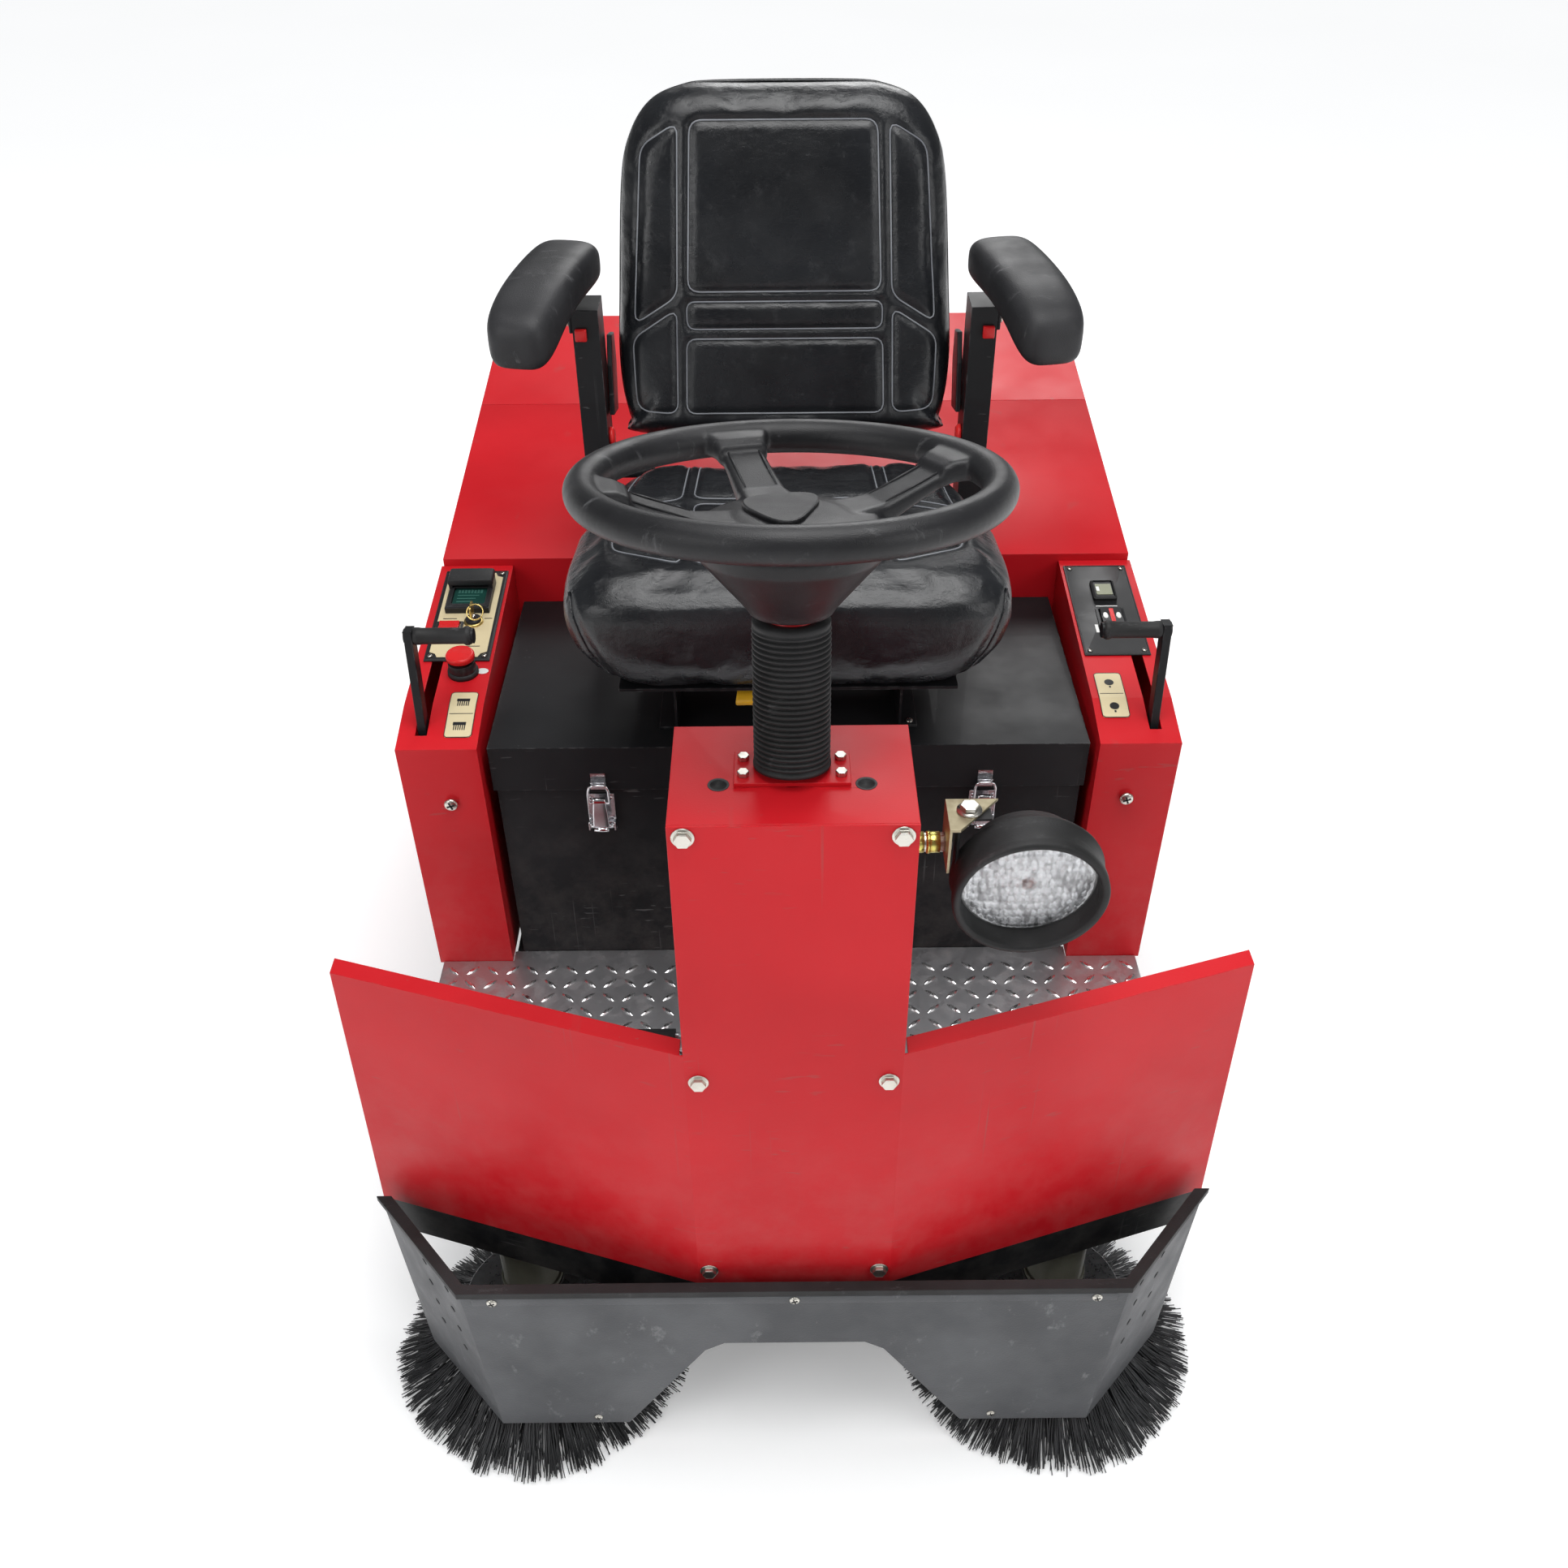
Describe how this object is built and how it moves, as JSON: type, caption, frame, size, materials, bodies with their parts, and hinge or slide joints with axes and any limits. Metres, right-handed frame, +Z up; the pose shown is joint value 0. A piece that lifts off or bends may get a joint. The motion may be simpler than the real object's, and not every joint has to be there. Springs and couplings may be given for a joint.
{
  "type": "ride-on floor sweeper",
  "caption": "Compact battery ride-on floor sweeper with a steered front wheel, side brooms, a main broom, a rear hopper, a seat and a work lamp.",
  "frame": {"origin": "on the floor under the middle of the machine's footprint", "axes": "+Z up, the machine faces -Y, +X is the driver's left"},
  "size_m": [1.0199, 1.653, 1.2954],
  "materials": {
    "red_paint": "powder coat, satin",
    "black_paint": "satin black coat",
    "tread_aluminium": "raised tread",
    "skirt_plastic": "scuffed dark grey",
    "black_rubber": "matt",
    "battery_case": "moulded",
    "wheel_polymer": "semi-gloss moulding",
    "bare_steel": "machined",
    "motor_paint": "olive grey",
    "solid_tyre": "matt",
    "bristle": "stiff filament",
    "seat_vinyl": "grained vinyl",
    "armrest_foam": "integral skin foam",
    "zinc_steel": "zinc plated",
    "chrome_latch": "bright",
    "lamp_glass": "prismatic",
    "red_plastic": "moulded",
    "switch_plastic": "moulded",
    "filter_paper": "pleated"
  },
  "bodies": {
    "chassis": {"chassis_frame": "black_paint", "front_cover": "red_paint", "steering_tower": "red_paint", "deck_plate": "tread_aluminium", "left_console": "red_paint", "right_console": "red_paint", "battery_box": "black_paint", "batteries": "battery_case", "rear_housing": "red_paint", "front_skirt": "skirt_plastic", "skirt_trim": "black_rubber", "steering_column": "black_paint", "column_bellows": "black_rubber", "steering_chain": "bare_steel", "broom_housing": "black_paint", "dust_filter": "filter_paper", "vacuum_fan": "battery_case", "control_panels": "battery_case", "instruments": "battery_case", "latch_bases": "chrome_latch", "cover_bolts": "zinc_steel"},
    "steering_wheel": {"steering_wheel": "wheel_polymer"},
    "lower_shaft": {"lower_shaft": "bare_steel"},
    "steer_fork": {"steer_fork": "black_paint", "drive_motor": "motor_paint"},
    "front_wheel": {"front_wheel": "solid_tyre"},
    "left_rear_wheel": {"left_rear_wheel": "solid_tyre"},
    "right_rear_wheel": {"right_rear_wheel": "solid_tyre"},
    "side_broom_lever": {"side_broom_lever": "black_paint"},
    "main_broom_lever": {"main_broom_lever": "black_paint"},
    "left_broom_arm": {"left_broom_arm": "black_paint", "left_broom_motor": "motor_paint"},
    "right_broom_arm": {"right_broom_arm": "black_paint", "right_broom_motor": "motor_paint"},
    "left_broom": {"left_broom_disc": "bare_steel", "left_bristles": "bristle"},
    "right_broom": {"right_broom_disc": "bare_steel", "right_bristles": "bristle"},
    "main_broom_arms": {"main_broom_arms": "black_paint"},
    "main_broom": {"main_broom": "bristle"},
    "battery_lid": {"battery_lid": "black_paint", "seat_stand": "black_paint"},
    "seat": {"seat_frame": "black_paint", "seat_cushion": "seat_vinyl"},
    "backrest": {"backrest_frame": "wheel_polymer", "backrest_cushion": "seat_vinyl"},
    "left_armrest": {"left_armrest": "armrest_foam"},
    "right_armrest": {"right_armrest": "armrest_foam"},
    "left_latch": {"left_latch_lever": "chrome_latch"},
    "right_latch": {"right_latch_lever": "chrome_latch"},
    "lamp_bracket": {"lamp_bracket": "zinc_steel"},
    "lamp": {"lamp_housing": "black_rubber", "lamp_lens": "lamp_glass"},
    "drive_pedal": {"drive_pedal": "wheel_polymer"},
    "stop_button": {"stop_button": "red_plastic"},
    "ignition_key": {"ignition_key": "chrome_latch"},
    "light_switch": {"light_switch": "red_plastic"},
    "horn_switch": {"horn_switch": "switch_plastic"},
    "debris_hopper": {"debris_hopper": "black_paint"},
    "rear_cover": {"rear_cover": "red_paint"}
  },
  "joints": [
    {"name": "steering", "type": "hinge", "parent": "chassis", "child": "steering_wheel", "pos_m": [0, -0.673, 0.934], "axis": [0, 0.1805, 0.9836], "range_deg": [-180, 180]},
    {"name": "lower_shaft_turn", "type": "hinge", "parent": "chassis", "child": "lower_shaft", "pos_m": [0, -0.68834, 0.6], "axis": [0, 0, 1], "range_deg": [-180, 180]},
    {"name": "fork_steer", "type": "hinge", "parent": "chassis", "child": "steer_fork", "pos_m": [0, -0.49, 0.3], "axis": [0, 0, 1], "range_deg": [-60, 60]},
    {"name": "front_wheel_spin", "type": "hinge", "parent": "steer_fork", "child": "front_wheel", "pos_m": [0, -0.49, 0.125], "axis": [1, 0, 0], "continuous": true},
    {"name": "left_rear_wheel_spin", "type": "hinge", "parent": "chassis", "child": "left_rear_wheel", "pos_m": [0.414, 0.48, 0.127], "axis": [1, 0, 0], "continuous": true},
    {"name": "right_rear_wheel_spin", "type": "hinge", "parent": "chassis", "child": "right_rear_wheel", "pos_m": [-0.414, 0.48, 0.127], "axis": [1, 0, 0], "continuous": true},
    {"name": "side_broom_lever_pull", "type": "hinge", "parent": "chassis", "child": "side_broom_lever", "pos_m": [-0.443, -0.24, 0.5], "axis": [-1, 0, 0], "range_deg": [0, 24]},
    {"name": "main_broom_lever_pull", "type": "hinge", "parent": "chassis", "child": "main_broom_lever", "pos_m": [0.443, -0.24, 0.5], "axis": [-1, 0, 0], "range_deg": [0, 24]},
    {"name": "left_broom_lift", "type": "hinge", "parent": "chassis", "child": "left_broom_arm", "pos_m": [0.25, -0.43, 0.14], "axis": [-1, 0, 0], "range_deg": [0, 12], "deforming": ["left_bristles"]},
    {"name": "right_broom_lift", "type": "hinge", "parent": "chassis", "child": "right_broom_arm", "pos_m": [-0.25, -0.43, 0.14], "axis": [-1, 0, 0], "range_deg": [0, 12], "deforming": ["right_bristles"]},
    {"name": "left_broom_spin", "type": "hinge", "parent": "left_broom_arm", "child": "left_broom", "pos_m": [0.32, -0.637, 0.1], "axis": [0, 0, 1], "continuous": true},
    {"name": "right_broom_spin", "type": "hinge", "parent": "right_broom_arm", "child": "right_broom", "pos_m": [-0.32, -0.637, 0.1], "axis": [0, 0, 1], "continuous": true},
    {"name": "main_broom_lift", "type": "hinge", "parent": "chassis", "child": "main_broom_arms", "pos_m": [0, 0.12, 0.215], "axis": [1, 0, 0], "range_deg": [0, 12]},
    {"name": "main_broom_spin", "type": "hinge", "parent": "main_broom_arms", "child": "main_broom", "pos_m": [0, 0.28, 0.13], "axis": [1, 0, 0], "continuous": true},
    {"name": "lid_open", "type": "hinge", "parent": "chassis", "child": "battery_lid", "pos_m": [0, 0.1125, 0.6645], "axis": [-1, 0, 0], "range_deg": [0, 30]},
    {"name": "seat_slide", "type": "slide", "parent": "battery_lid", "child": "seat", "axis": [0, 1, 0], "range_m": [-0.05, 0.02]},
    {"name": "backrest_recline", "type": "hinge", "parent": "seat", "child": "backrest", "pos_m": [0, 0.09, 0.86], "axis": [-1, 0, 0], "range_deg": [-4, 14]},
    {"name": "left_armrest_fold", "type": "hinge", "parent": "seat", "child": "left_armrest", "pos_m": [0.254, 0.1, 1.053], "axis": [-1, 0, 0], "range_deg": [0, 85]},
    {"name": "right_armrest_fold", "type": "hinge", "parent": "seat", "child": "right_armrest", "pos_m": [-0.254, 0.1, 1.053], "axis": [-1, 0, 0], "range_deg": [0, 85]},
    {"name": "left_latch_open", "type": "hinge", "parent": "chassis", "child": "left_latch", "pos_m": [0.241, -0.247, 0.546], "axis": [1, 0, 0], "range_deg": [0, 95]},
    {"name": "right_latch_open", "type": "hinge", "parent": "chassis", "child": "right_latch", "pos_m": [-0.234, -0.247, 0.546], "axis": [1, 0, 0], "range_deg": [0, 95]},
    {"name": "lamp_tilt", "type": "hinge", "parent": "chassis", "child": "lamp_bracket", "pos_m": [0.137, -0.668, 0.85], "axis": [1, 0, 0], "range_deg": [-20, 20]},
    {"name": "lamp_swivel", "type": "hinge", "parent": "lamp_bracket", "child": "lamp", "pos_m": [0.157, -0.668, 0.882], "axis": [0, 0, 1], "range_deg": [-15, 15]},
    {"name": "drive_pedal_press", "type": "hinge", "parent": "chassis", "child": "drive_pedal", "pos_m": [-0.185, -0.416, 0.341], "axis": [1, 0, 0], "range_deg": [0, 16]},
    {"name": "stop_button_press", "type": "slide", "parent": "chassis", "child": "stop_button", "axis": [0, 0.0965, -0.9953], "range_m": [0, 0.004]},
    {"name": "ignition_key_turn", "type": "hinge", "parent": "chassis", "child": "ignition_key", "pos_m": [-0.408, -0.017, 0.702], "axis": [0, -0.0965, 0.9953], "range_deg": [0, 90]},
    {"name": "light_switch_rock", "type": "hinge", "parent": "chassis", "child": "light_switch", "pos_m": [-0.438, -0.03058, 0.70674], "axis": [1, 0, 0], "range_deg": [-6, 6]},
    {"name": "horn_switch_rock", "type": "hinge", "parent": "chassis", "child": "horn_switch", "pos_m": [0.423, -0.02258, 0.70752], "axis": [1, 0, 0], "range_deg": [-6, 6]},
    {"name": "hopper_slide", "type": "slide", "parent": "chassis", "child": "debris_hopper", "axis": [0, 1, 0], "range_m": [0, 0.4]},
    {"name": "rear_cover_open", "type": "hinge", "parent": "chassis", "child": "rear_cover", "pos_m": [0, 0.8, 0.815], "axis": [-1, 0, 0], "range_deg": [0, 70]}
  ],
  "couplings": [
    {"joint": "lower_shaft_turn", "follows": "steering", "ratio": 1},
    {"joint": "fork_steer", "follows": "steering", "ratio": 0.33333},
    {"joint": "left_broom_lift", "follows": "side_broom_lever_pull", "ratio": 0.5},
    {"joint": "right_broom_lift", "follows": "side_broom_lever_pull", "ratio": 0.5},
    {"joint": "main_broom_lift", "follows": "main_broom_lever_pull", "ratio": 0.5}
  ]
}
